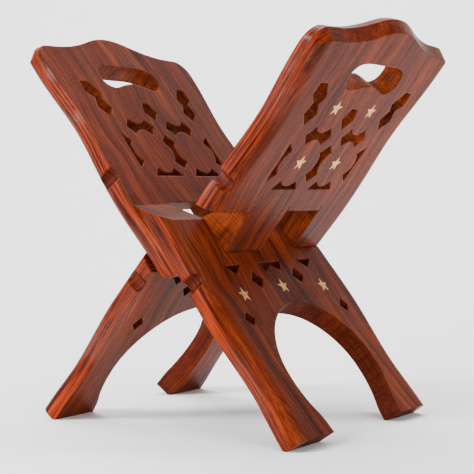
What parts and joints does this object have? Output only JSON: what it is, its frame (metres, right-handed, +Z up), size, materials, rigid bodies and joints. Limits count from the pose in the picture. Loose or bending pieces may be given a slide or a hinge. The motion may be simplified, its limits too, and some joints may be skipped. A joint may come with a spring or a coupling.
{
  "type": "quran stand",
  "caption": "Folding wooden book stand: two pierced leaves with legs cross on interlocking knuckles, brass stars let into their outer faces.",
  "frame": {"origin": "on the floor, midway between the four feet, directly below the hinge axis", "axes": "+Z up, +Y along the hinge axis, +X toward the right leaf's board; a reader sits facing along Y or X as the book needs"},
  "size_m": [0.2284, 0.1492, 0.236],
  "materials": {
    "wood": "polished",
    "brass": "polished"
  },
  "bodies": {
    "left_leaf": {"left_leaf": "wood", "left_leaf_leg_star_middle": "brass", "left_leaf_board_star_lower_near": "brass", "left_leaf_board_star_lower_far": "brass", "left_leaf_board_star_upper_near": "brass", "left_leaf_board_star_upper_far": "brass", "left_leaf_leg_star_near": "brass", "left_leaf_leg_star_far": "brass"},
    "right_leaf": {"right_leaf": "wood", "right_leaf_leg_star_middle": "brass", "right_leaf_board_star_lower_near": "brass", "right_leaf_board_star_lower_far": "brass", "right_leaf_board_star_upper_near": "brass", "right_leaf_board_star_upper_far": "brass", "right_leaf_leg_star_near": "brass", "right_leaf_leg_star_far": "brass"}
  },
  "joints": [
    {"name": "knuckle_hinge", "type": "hinge", "parent": "left_leaf", "child": "right_leaf", "pos_m": [0, 0, 0.10292], "axis": [0, -1, 0], "range_deg": [0, 76]}
  ]
}
